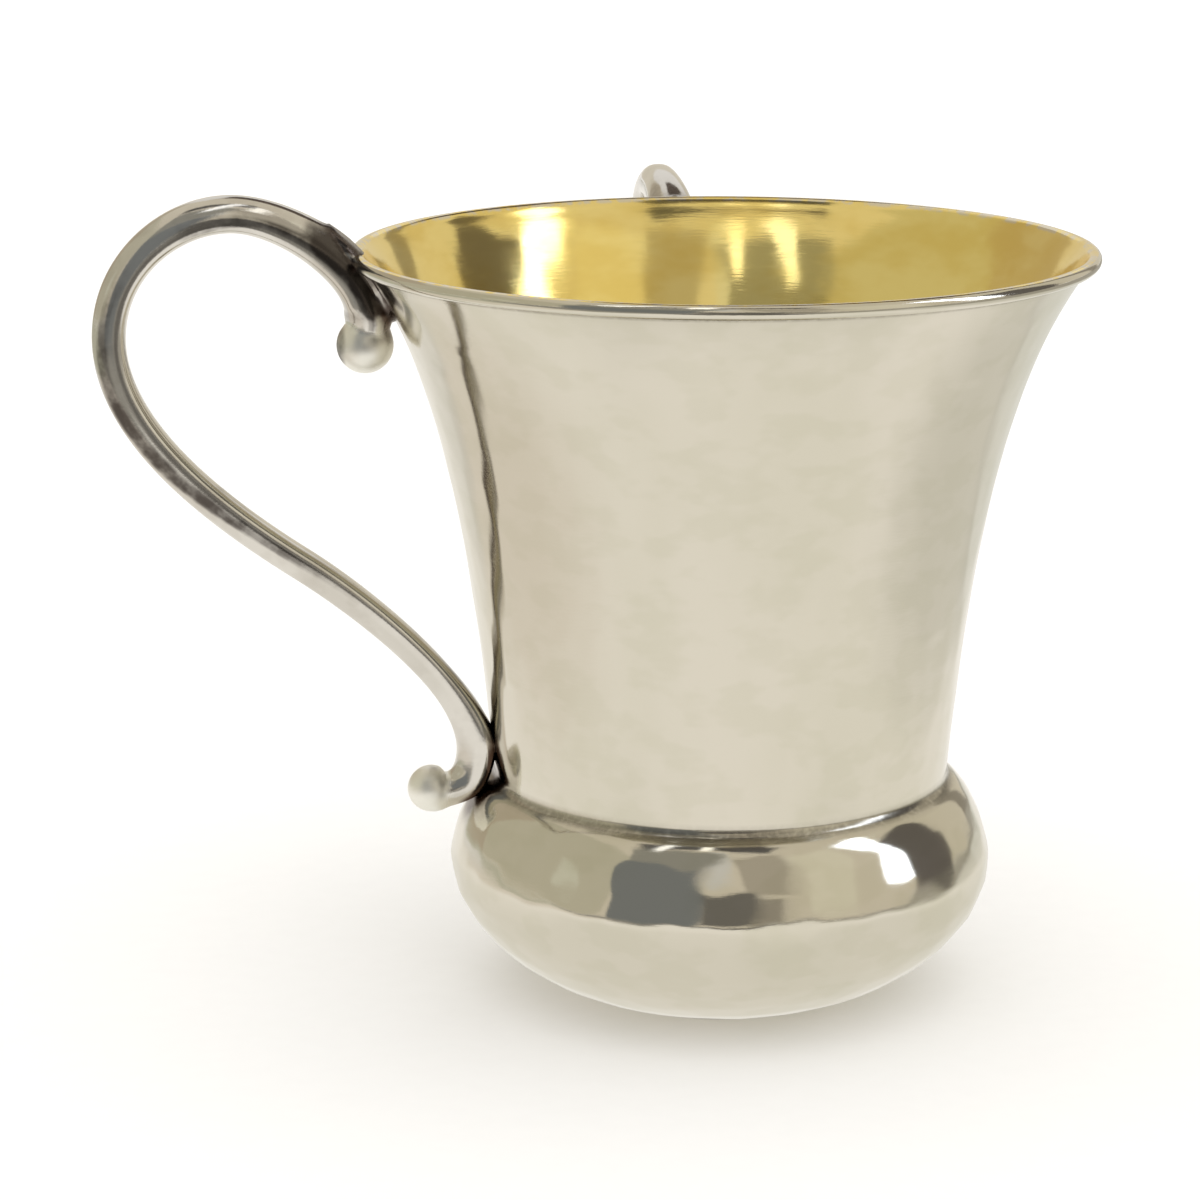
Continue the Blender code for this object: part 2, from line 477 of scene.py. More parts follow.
@dataclass(frozen=True)
class PaperFinish:
    """Pale matt paper with a faint grain, lit a little from within."""

    name: str
    colour: Colour
    glow: float
    grain_shade: float = 0.99
    grain_stretch: Stretch = (240.0, 240.0, 240.0)
    roughness: float = 0.9
    shine: float = 0.1

    def make(self) -> bpy.types.Material:
        """Build the material.

        Returns:
            The finished material.
        """
        bench = NodeBench(self.name)
        grain = bench.span(bench.noise(self.grain_stretch, roughness=0.5), 0.3, 0.7)
        shaded = tuple(self.grain_shade * value for value in self.colour)
        inputs = {
            "Base Color": bench.blend(grain, shaded, self.colour),
            "Roughness": self.roughness,
            "Specular IOR Level": self.shine,
            "Emission Color": self.colour,
            "Emission Strength": self.glow,
        }
        bench.feed(bench.shader, inputs)
        return bench.material


@dataclass(frozen=True)
class GlowFinish:
    """A surface that only shines: evenly, or as the colours stored on its mesh say.

    A light of 1 is as bright as the white of the backdrop.
    """

    name: str
    colour: Colour
    stored: str = ""

    def make(self) -> bpy.types.Material:
        """Build the material.

        Returns:
            The finished material.
        """
        material = bpy.data.materials.new(self.name)
        material.use_nodes = True
        tree = material.node_tree
        tree.nodes.clear()
        light = tree.nodes.new("ShaderNodeEmission")
        light.inputs["Color"].default_value = (*self.colour, 1.0)
        out = tree.nodes.new("ShaderNodeOutputMaterial")
        tree.links.new(light.outputs["Emission"], out.inputs["Surface"])
        if self.stored:
            stored = tree.nodes.new("ShaderNodeAttribute")
            stored.attribute_name = self.stored
            tree.links.new(stored.outputs["Color"], light.inputs["Color"])
        return material


RAISED_SILVER = SilverFinish(
    name="raised_silver",
    colour=(0.722, 0.686, 0.596),
    dulled=(0.655, 0.628, 0.520),
    tarnish_and_shade=(0.100, 0.062, 0.042),
    grime_and_shade=(0.070, 0.050, 0.034),
    satin=(0.900, 0.885, 0.830),
    roughness=0.075,
    cloud_stretch=(38.0, 38.0, 17.0),
    facet_stretch=(120.0, 120.0, 210.0),
    patchiness=0.40,
    hairline_stretch=(420.0, 420.0, 5200.0),
    hairline_depth=0.000012,
)
CAST_SILVER = SilverFinish(
    name="cast_silver",
    colour=(0.735, 0.712, 0.665),
    dulled=(0.600, 0.570, 0.520),
    tarnish_and_shade=(0.092, 0.080, 0.072),
    grime_and_shade=(0.110, 0.082, 0.070),
    satin=(0.930, 0.920, 0.860),
    roughness=0.11,
    cloud_stretch=(70.0, 70.0, 70.0),
    facet_stretch=(260.0, 260.0, 260.0),
    patchiness=0.30,
    hairline_stretch=(2600.0, 700.0, 2600.0),
    hairline_depth=0.000016,
)
GILDING = GiltFinish(
    name="gilding",
    gold=(0.980, 0.800, 0.315),
    deep_gold=(0.900, 0.690, 0.215),
    silver=(0.760, 0.715, 0.620),
    roughness=0.10,
)


# --- The vessel ------------------------------------------------------------------------------


class CupZone(Enum):
    """The finish that a stretch of the vessel's skin takes, as its material's number."""

    SILVER = 0
    GILT = 1


@dataclass(frozen=True)
class CupProfile:
    """The sizes of the raised vessel, and the lines that they give."""

    wall: float = 1.0 * MM
    bead_radius: float = 1.1 * MM
    lip_radius: float = 56.8 * MM
    lip_height: float = 117.4 * MM
    lip_slope: float = math.radians(53.0)
    lip_reach: float = 20.0 * MM
    waist_radius: float = 35.9 * MM
    waist_height: float = 35.2 * MM
    waist_lean: float = math.radians(5.0)
    waist_reach: float = 39.0 * MM
    crease_radius: float = 1.2 * MM
    shoulder_turn: float = math.radians(66.0)
    shoulder_reach: float = 3.0 * MM
    bulge_radius: float = 42.8 * MM
    bulge_height: float = 21.0 * MM
    bulge_reach_up: float = 4.4 * MM
    bulge_reach_down: float = 9.8 * MM
    base_radius: float = 19.0 * MM
    base_rise: float = math.radians(6.0)
    base_reach: float = 11.8 * MM
    wall_steps: int = 900
    crease_steps: int = 60
    shoulder_steps: int = 200
    underside_steps: int = 500
    fine_spacing: float = 0.25 * MM
    bend_steps: int = 8
    least_radius: float = 5.0 * MM

    def lip(self) -> np.ndarray:
        """Centre of the bead in the profile plane."""
        return np.array([self.lip_radius, self.lip_height])

    def crease(self) -> np.ndarray:
        """The deepest point of the crease under the waist."""
        return np.array([self.waist_radius, self.waist_height - self.crease_radius])

    def outer_line(self) -> np.ndarray:
        """The outer skin's line, finely stepped.

        Returns:
            Points from the centre of the bead down to the edge of the flat.
        """
        lip = self.lip()
        waist = np.array([self.waist_radius, self.waist_height])
        bulge = np.array([self.bulge_radius, self.bulge_height])
        base = np.array([self.base_radius, 0.0])
        up = np.array([0.0, 1.0])
        lip_pull = lip - heading(self.lip_slope) * self.lip_reach
        waist_pull = waist + heading(math.pi / 2 - self.waist_lean) * self.waist_reach
        wall = bezier(lip, lip_pull, waist_pull, waist, self.wall_steps)
        crease_start = math.pi - self.waist_lean
        crease_centre = waist - heading(crease_start) * self.crease_radius
        crease_end = math.pi + self.shoulder_turn
        crease = arc(crease_centre, self.crease_radius, crease_start, crease_end, self.crease_steps)
        shoulder_pull = crease[-1] + heading(self.shoulder_turn - math.pi / 2) * self.shoulder_reach
        bulge_push = bulge + up * self.bulge_reach_up
        shoulder = bezier(crease[-1], shoulder_pull, bulge_push, bulge, self.shoulder_steps)
        bulge_pull = bulge - up * self.bulge_reach_down
        base_push = base + heading(self.base_rise) * self.base_reach
        underside = bezier(bulge, bulge_pull, base_push, base, self.underside_steps)
        return np.concatenate([lip[None], wall, crease, shoulder, underside])

    def moved(self, distance: float) -> np.ndarray:
        """The outer line moved out of the metal by a distance, or into it by a negative one."""
        line = self.outer_line()
        return line + sideways(line) * distance

    def shape(self) -> tuple[np.ndarray, np.ndarray, np.ndarray]:
        """The outer line's points, distances and shape.

        Returns:
            The points, the distance along the line at each, and a row for each with its radius,
            its bend along the line and its bend round the cup, in 1/m.
        """
        line = respaced(self.outer_line(), self.fine_spacing)
        distance = travelled(line)
        normals = sideways(line)
        turning = np.unwrap(np.arctan2(normals[:, 1], normals[:, 0]))
        bend_down = -np.gradient(turning, distance)
        window = np.hanning(2 * self.bend_steps + 1)
        padded = np.pad(bend_down, self.bend_steps, mode="edge")
        bend_down = np.convolve(padded, window / window.sum(), mode="valid")
        bend_round = normals[:, 0] / np.maximum(line[:, 0], self.least_radius)
        return line, distance, np.stack([line[:, 0], bend_down, bend_round], axis=1)

    def clear_of_bead(self, points: np.ndarray, radius: float) -> np.ndarray:
        """The points that lie further than a radius from the bead's centre."""
        return points[apart(points, self.lip()) > radius]


@dataclass(frozen=True)
class Course:
    """One course of hammer blows round the vessel."""

    centre: float
    offset: float
    slip_down: np.ndarray
    slip_round: np.ndarray
    depth: np.ndarray
    tilt_down: np.ndarray
    tilt_round: np.ndarray


@dataclass(frozen=True)
class HammerMarks:
    """The marks that planishing leaves: flats in staggered courses, each a little off true.

    The flattening is the share of the wall's own roundness that a blow takes away, the dish
    is a mark's own hollow, in 1/m, and the scatter is a share of the pitch.
    """

    pitch: float = 5.4 * MM
    flattening: float = 0.88
    dish: float = 1.2
    depth_spread: float = 0.022 * MM
    tilt: float = 0.0075
    scatter: float = 0.16
    seed: int = 11
    course_step: float = 0.87
    spare_courses: int = 2
    least_radius: float = 2.0 * MM
    fewest_blows: int = 6
    reach: float = 2.2
    softenings: int = 2

    def courses(self, travel: np.ndarray, radius: np.ndarray) -> list[Course]:
        """Set out the blows along a profile.

        Args:
            travel: Distances along the profile.
            radius: The radius at each distance.

        Returns:
            The courses in order.
        """
        random = np.random.default_rng(self.seed)
        step = self.pitch * self.course_step
        courses = []
        last = int(travel[-1] // step) + self.spare_courses
        for number in range(-self.spare_courses, last + 1):
            at = float(np.interp(number * step, travel, radius))
            girth = 2.0 * math.pi * max(at, self.least_radius)
            blows = max(self.fewest_blows, round(girth / self.pitch))
            slips = random.normal(0.0, self.scatter, (2, blows)) * self.pitch
            depth = self.depth_spread * random.uniform(0.0, 1.0, blows)
            tilts = random.normal(0.0, self.tilt, (2, blows))
            courses.append(Course(number * step, random.uniform(), *slips, depth, *tilts))
        return courses

    def relief(
        self, courses: list[Course], travel: np.ndarray, shape: np.ndarray, columns: int
    ) -> np.ndarray:
        """How far the blows moved the skin, about a mean of 0.

        Args:
            courses: The blows.
            travel: Each ring's distance along the profile.
            shape: Each ring's radius, its bend along the profile and its bend round the cup.
            columns: Number of points on each ring.

        Returns:
            Heights in metres, a row for each ring.
        """
        around = np.arange(columns) / columns
        height = np.full((len(travel), columns), 1.0)
        radius, bend_down, bend_round = shape.T
        take_down = self.flattening * np.clip(bend_down, 0.0, None) / 2.0 + self.dish
        take_round = self.flattening * np.clip(bend_round, 0.0, None) / 2.0 + self.dish
        for course in courses:
            rows = np.flatnonzero(np.abs(travel - course.centre) < self.reach * self.pitch)
            if not len(rows):
                continue
            blows = len(course.depth)
            nearest = np.floor(around * blows - course.offset).astype(int)
            for shift in (-1, 0, 1, 2):
                blow = (nearest + shift) % blows
                gap = around - (blow + course.offset) / blows
                gap -= np.round(gap)
                across = 2.0 * math.pi * radius[rows, None] * gap[None] - course.slip_round[blow][None]
                down = travel[rows, None] - course.centre - course.slip_down[blow][None]
                moved = take_down[rows, None] * down**2 + take_round[rows, None] * across**2
                moved += course.tilt_down[blow] * down + course.tilt_round[blow] * across
                height[rows] = np.minimum(height[rows], moved - course.depth[blow])
        for _ in range(self.softenings):
            height = (np.roll(height, 1, axis=1) + 2.0 * height + np.roll(height, -1, axis=1)) / 4.0
        return height - height.mean()


@dataclass
class RingTable:
    """The rings that make up the vessel's skin, in order from inside to outside."""

    points: list[np.ndarray] = field(default_factory=list)
    zones: list[np.ndarray] = field(default_factory=list)
    outside: list[np.ndarray] = field(default_factory=list)

    def add(self, points: np.ndarray, zone: CupZone, outside: bool) -> None:
        """Add a stretch of rings.

        Args:
            points: The profile points of the rings.
            zone: The finish from these rings to the next.
            outside: Whether the stretch belongs to the outer skin.
        """
        self.points.append(points)
        self.zones.append(np.full(len(points), zone.value))
        self.outside.append(np.full(len(points), outside))

    def joined(self) -> tuple[np.ndarray, np.ndarray, np.ndarray]:
        """All stretches end to end: points, zones and which rings lie outside."""
        return np.concatenate(self.points), np.concatenate(self.zones), np.concatenate(self.outside)


@dataclass(frozen=True)
class SeatStainAndShade:
    """The wall darkened round one seat of a handle: partly the bloom that soldering leaves, partly painted
    shade beside the strap.

    The turn is the handle's place round the cup. The darkening is an upright oval about the
    handle's middle plane, full in its heart and gone at its edge.
    """

    turn: float
    height: float
    half_width: float
    half_height: float
    heart: float = 0.15

    def spread(self, places: np.ndarray) -> np.ndarray:
        """How dark the soldering stain and painted shade are.

        Args:
            places: Points on the vessel.

        Returns:
            A number for each point, from 0 to 1.
        """
        beside = np.abs(places[:, 1] * math.cos(self.turn) - places[:, 0] * math.sin(self.turn))
        before = places[:, 0] * math.cos(self.turn) + places[:, 1] * math.sin(self.turn)
        away = np.hypot(beside / self.half_width, (places[:, 2] - self.height) / self.half_height)
        return np.where(before > 0.0, faded(away, self.heart, 1.0), 0.0)


@dataclass(frozen=True)
class Sway:
    """One slow wave in the wall's roundness: its share, its lobes, and how it climbs, in 1/m."""

    share: float
    lobes: float
    climb: float
    start: float


@dataclass
class CupBody:
    """The raised and planished vessel, one closed skin with a rolled lip."""

    profile: CupProfile = field(default_factory=CupProfile)
    seat_stains_and_shade: tuple[SeatStainAndShade, ...] = ()
    marks: HammerMarks = HammerMarks()
    inner_share: float = 0.75
    crease_share: float = 0.15
    bulge_share: float = 0.7
    waist_band: Span = (-1.0 * MM, 6.0 * MM)
    crease_calm: Span = (1.0 * MM, 6.0 * MM)
    lip_calm: float = 4.5 * MM
    floor_calm: Span = (12.0 * MM, 24.0 * MM)
    bead_flank: float = 0.9
    bead_edge: float = 1.3
    bead_rub: float = 0.55
    # Darkening in the crease under the waist and in the corner under the bead: grime, with painted shade.
    crease_dirt_and_shade: float = 0.55
    crease_span: Span = (0.4 * MM, 1.9 * MM)
    corner_dirt_and_shade: float = 0.75
    corner_span: Span = (0.2 * MM, 1.1 * MM)
    # The outer skin is made darker towards the bottom, over the last few millimetres above the flat.
    foot_darkening: float = 0.25
    foot_span: Span = (0.0, 3.0 * MM)
    sway: float = 0.09 * MM
    sway_span: Span = (15.0 * MM, 35.0 * MM)
    sways: tuple[Sway, ...] = (
        Sway(1.0, 2.0, 31.0, 0.6),
        Sway(0.7, 3.0, -47.0, 2.1),
        Sway(0.45, 5.0, 83.0, 4.0),
    )
    columns: int = 336
    outer_spacing: float = 0.82 * MM
    inner_spacing: float = 1.05 * MM
    deep_spacing: float = 2.2 * MM
    deep_height: float = 62.0 * MM
    bead_clearance: float = 1.15
    bead_steps: int = 13
    gilt_steps: int = 3
    hub: float = 0.6 * MM
    floor_rings: int = 8
    flat_rings: int = 7
    sharp_edge: float = math.radians(55.0)
    map_margin: float = 0.01
    pole_margin: float = 0.004

    def rings(self) -> RingTable:
        """Lay out the rings from the middle of the floor, up inside, over the lip and down outside.

        Returns:
            The table of rings.
        """
        profile = self.profile
        lip = profile.lip()
        clearance = profile.bead_radius * self.bead_clearance
        inside = profile.clear_of_bead(profile.moved(-profile.wall), clearance)[::-1]
        inside[0, 1] = profile.wall
        deep = inside[inside[:, 1] < self.deep_height]
        seen = inside[inside[:, 1] >= self.deep_height]
        outside = profile.clear_of_bead(profile.outer_line(), clearance)
        roll_start = profile.lip_slope + math.pi / 2
        roll_end = profile.lip_slope - math.pi
        bead = arc(lip, profile.bead_radius, roll_start, roll_end, self.bead_steps)
        first = lip + heading(roll_start) * profile.bead_radius
        floor_line = np.linspace(self.hub, inside[0, 0], self.floor_rings + 1)[:-1]
        flat_line = np.linspace(profile.base_radius, self.hub, self.flat_rings + 1)[1:]
        rings = RingTable()
        rings.add(self.level(floor_line, profile.wall), CupZone.GILT, False)
        rings.add(respaced(deep, self.deep_spacing)[:-1], CupZone.GILT, False)
        rings.add(respaced(seen, self.inner_spacing), CupZone.GILT, False)
        rings.add(first[None], CupZone.GILT, True)
        rings.add(bead[: self.gilt_steps], CupZone.GILT, True)
        rings.add(bead[self.gilt_steps :], CupZone.SILVER, True)
        rings.add(respaced(outside, self.outer_spacing), CupZone.SILVER, True)
        rings.add(self.level(flat_line, 0.0), CupZone.SILVER, True)
        return rings

    def level(self, radii: np.ndarray, height: float) -> np.ndarray:
        """Profile points that all lie at one height."""
        return np.stack([radii, np.full(len(radii), height)], axis=1)

    def blow_weight(self, points: np.ndarray, outside: np.ndarray) -> np.ndarray:
        """How strongly the hammer marks show on each ring.

        They are weaker on the bulge, in the crease and inside, and gone at the lip and in
        the middle of the floor.

        Args:
            points: The rings' profile points.
            outside: Which rings belong to the outer skin.

        Returns:
            A factor for each ring, which is negative inside.
        """
        profile = self.profile
        low, high = self.waist_band
        above = eased(points[:, 1], profile.waist_height + low, profile.waist_height + high)
        clear = eased(apart(points, profile.crease()), *self.crease_calm)
        outer = self.crease_share + (1.0 - self.crease_share) * clear
        outer *= self.bulge_share + (1.0 - self.bulge_share) * above
        weight = np.where(outside, outer, -self.inner_share)
        bead_edge = profile.bead_radius * self.bead_edge
        weight *= eased(apart(points, profile.lip()), bead_edge, self.lip_calm)
        return weight * eased(points[:, 0], *self.floor_calm)

    def skin(self, points: np.ndarray, outside: np.ndarray) -> np.ndarray:
        """Work the rings: hammer marks, and the slight sway of a form raised by hand.

        Args:
            points: The rings' profile points.
            outside: Which rings belong to the outer skin.

        Returns:
            The place of every vertex, a row for each ring.
        """
        normals = sideways(points)
        line, distance, shape = self.profile.shape()
        courses = self.marks.courses(distance, shape[:, 0])
        nearest = nearest_on(line, points)
        sunk = self.marks.relief(courses, distance[nearest], shape[nearest], self.columns)
        sunk *= self.blow_weight(points, outside)[:, None]
        radius, height = points[:, :1], points[:, 1:]
        angle = angles_round(self.columns)
        swing = sum(
            wave.share * np.sin(wave.lobes * angle + wave.climb * height + wave.start) for wave in self.sways
        )
        out = radius + normals[:, :1] * sunk
        out += self.sway * swing * eased(radius, *self.sway_span)
        return turned_rings(out, height + normals[:, 1:] * sunk, self.columns)

    def build(self) -> bpy.types.Object:
        """Make the vessel.

        Returns:
            The finished piece.
        """
        points, zones, outside = self.rings().joined()
        poles = [np.array([0.0, 0.0, self.profile.wall]), np.zeros(3)]
        mesh = ring_mesh("cup_body_skin", self.skin(points, outside), poles)
        self.lay_out(mesh, points)
        self.store_marks(mesh, points, outside)
        numbers = np.repeat(zones[:-1], self.columns)
        fans = np.tile([CupZone.GILT.value, CupZone.SILVER.value], self.columns)
        mesh.polygons.foreach_set("material_index", np.concatenate([numbers, fans]).astype(np.int32))
        mesh.shade_smooth()
        mesh.set_sharp_from_angle(angle=self.sharp_edge)
        return put_in_scene("hammered_cup", mesh)

    def lay_out(self, mesh: bpy.types.Mesh, points: np.ndarray) -> None:
        """Unroll the skin for its texture map: round the cup across, along the profile upwards.

        Args:
            mesh: The vessel's mesh.
            points: The rings' profile points.
        """
        distance = travelled(points)
        share = (distance + self.hub) / (distance[-1] + 2.0 * self.hub)
        up = self.map_margin + (1.0 - 2.0 * self.map_margin) * share
        corner = np.empty(len(mesh.loops), dtype=np.int64)
        mesh.loops.foreach_get("vertex_index", corner)
        grid = len(points) - 1
        quads = corner[: grid * self.columns * 4].reshape(grid, self.columns, 4)
        row = quads // self.columns
        across = (quads % self.columns).astype(float)
        wrapped = across < np.arange(self.columns)[None, :, None]
        across[wrapped] += self.columns
        quad_map = np.stack([across / self.columns, up[row]], axis=-1).reshape(-1, 2)
        column = np.arange(self.columns, dtype=float)
        floor = np.stack([column + 0.5, column, column + 1.0], axis=1) / self.columns
        flat = np.stack([column, column + 0.5, column + 1.0], axis=1) / self.columns
        floor_up = np.tile([self.pole_margin, up[0], up[0]], (self.columns, 1))
        flat_up = np.tile([up[-1], 1.0 - self.pole_margin, up[-1]], (self.columns, 1))
        fans = [np.stack([floor, floor_up], axis=-1), np.stack([flat, flat_up], axis=-1)]
        lay_map(mesh, np.concatenate([quad_map, np.stack(fans, axis=1).reshape(-1, 2)]))

    def store_marks(self, mesh: bpy.types.Mesh, points: np.ndarray, outside: np.ndarray) -> None:
        """Store where grime and painted shade darken the hollows, where the gilding is rubbed, and where the
        silver darkens at the foot and round the handle seats.

        Args:
            mesh: The vessel's mesh.
            points: The rings' profile points.
            outside: Which rings belong to the outer skin.
        """
        profile = self.profile
        bead = profile.bead_radius
        under_bead = profile.lip() + heading(profile.lip_slope - math.pi) * bead
        in_crease = self.crease_dirt_and_shade * faded(apart(points, profile.crease()), *self.crease_span)
        in_corner = self.corner_dirt_and_shade * faded(apart(points, under_bead), *self.corner_span)
        crevice = np.where(outside, np.maximum(in_crease, in_corner), 0.0)
        from_lip = apart(points, profile.lip())
        rubbed = self.bead_rub * faded(from_lip, bead * self.bead_flank, bead * self.bead_edge)
        underneath = self.foot_darkening * faded(points[:, 1], *self.foot_span)
        tarnish_and_shade = self.at_vertices(np.where(outside, underneath, 0.0))
        outer_skin = self.at_vertices(outside)
        places = vectors_of(mesh.vertices, "co")
        # Each seat darkens the wall: soldering stain with painted shade beside the strap.
        for stain_and_shade in self.seat_stains_and_shade:
            tarnish_and_shade = np.maximum(tarnish_and_shade, outer_skin * stain_and_shade.spread(places))
        add_float_attribute(mesh, "crevice", self.at_vertices(crevice))
        add_float_attribute(mesh, "rubbed", self.at_vertices(rubbed))
        add_float_attribute(mesh, "tarnish_and_shade", tarnish_and_shade)

    def at_vertices(self, rings: np.ndarray) -> np.ndarray:
        """One value for each ring, given to its vertices and to the pole next to it."""
        return np.concatenate([np.repeat(rings, self.columns), [rings[0], rings[-1]]])

    def dress(self, piece: bpy.types.Object) -> None:
        """Give the vessel its metals and tie it to the frame.

        Args:
            piece: The vessel.
        """
        piece.data.materials.append(RAISED_SILVER.make())
        piece.data.materials.append(GILDING.make())
        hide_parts("cup_body")
        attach(piece, BODY)


# --- The handles -----------------------------------------------------------------------------


@dataclass(frozen=True)
class Knot:
    """One knot of a handle's scroll, in millimetres and degrees.

    The heading is 0 outwards and 90 up. The reaches say how far the curve is pulled before
    and after the knot, and the thickness is the strap's, seen from its side.
    """

    radius: float
    height: float
    heading: float
    reach_in: float
    reach_out: float
    thickness: float


@dataclass(frozen=True)
class Ball:
    """The ball that ends a scroll, in millimetres."""

    radius: float
    height: float
    size: float


@dataclass(frozen=True)
class Flank:
    """How the painted dark line of reflection and shade on a strap's flank looks at one place.

    The place is in millimetres from the upper ball. The middle of the line is -1 on the
    scroll's inner side and 1 on its outer side, and the breadth is told in the same way.
    """

    place: float
    middle: float
    breadth: float
    strength: float


@dataclass
class Sections:
    """The cross-sections of a swept strap, one a row."""

    centres: np.ndarray
    along: np.ndarray
    half_thick: np.ndarray
    half_wide: np.ndarray
    squareness: np.ndarray
    lean: np.ndarray


@dataclass(frozen=True)
class HandleWearAndShade:
    """Where dirt and painted shade darken a handle, where painted dark reflections run along it, and where
    polishing leaves it dark or satin.
    """

    # Grime with painted shade: the joints with the wall and the neck above the upper ball are darkened.
    joint_dirt_and_shade: float = 0.5
    joint_span: Span = (0.2 * MM, 1.3 * MM)
    neck_dirt_and_shade: float = 0.35
    neck_place: float = 1.15
    neck_width: float = 1.0 * MM
    most_dirt_and_shade: float = 0.9
    # Tarnish with painted shade on the strap's outer side, near the upper ball.
    shoulder_start: Span = (1.0, 1.3)
    shoulder_end: Span = (17.0 * MM, 25.0 * MM)
    shoulder_faces: Span = (-0.25, 0.15)
    crest_polish: float = 0.5
    crest_faces: Span = (0.7, 1.0)
    # Painted shade on the slope's face that looks at the wall.
    slope_painted_shade: float = 0.45
    slope_faces: Span = (0.7, 0.92)
    slope_start: Span = (85.0 * MM, 100.0 * MM)
    slope_end: Span = (11.0 * MM, 22.0 * MM)
    satin_edge: Span = (0.1, 0.7)
    # Painted dark reflection and shade on the outer side of the upper ball.
    rim_painted_shade: float = 0.6
    rim_faces: Span = (0.55, 0.9)
    flank_edge: Span = (0.3, 1.0)
    # Painted dark reflection and shade along the strap's flanks, given place by place.
    flank: tuple[Flank, ...] = (
        Flank(16.0, 0.15, 0.30, 0.70),
        Flank(28.0, 0.15, 0.26, 0.60),
        Flank(38.0, -0.20, 0.75, 0.42),
        Flank(48.0, 0.10, 0.50, 0.15),
        Flank(58.0, 0.42, 0.36, 0.45),
        Flank(71.0, 0.62, 0.45, 0.70),
        Flank(82.0, 0.48, 0.55, 0.68),
        Flank(97.0, 0.20, 0.36, 0.72),
        Flank(108.0, 0.08, 0.30, 0.55),
        Flank(126.0, 0.00, 0.30, 0.00),
    )


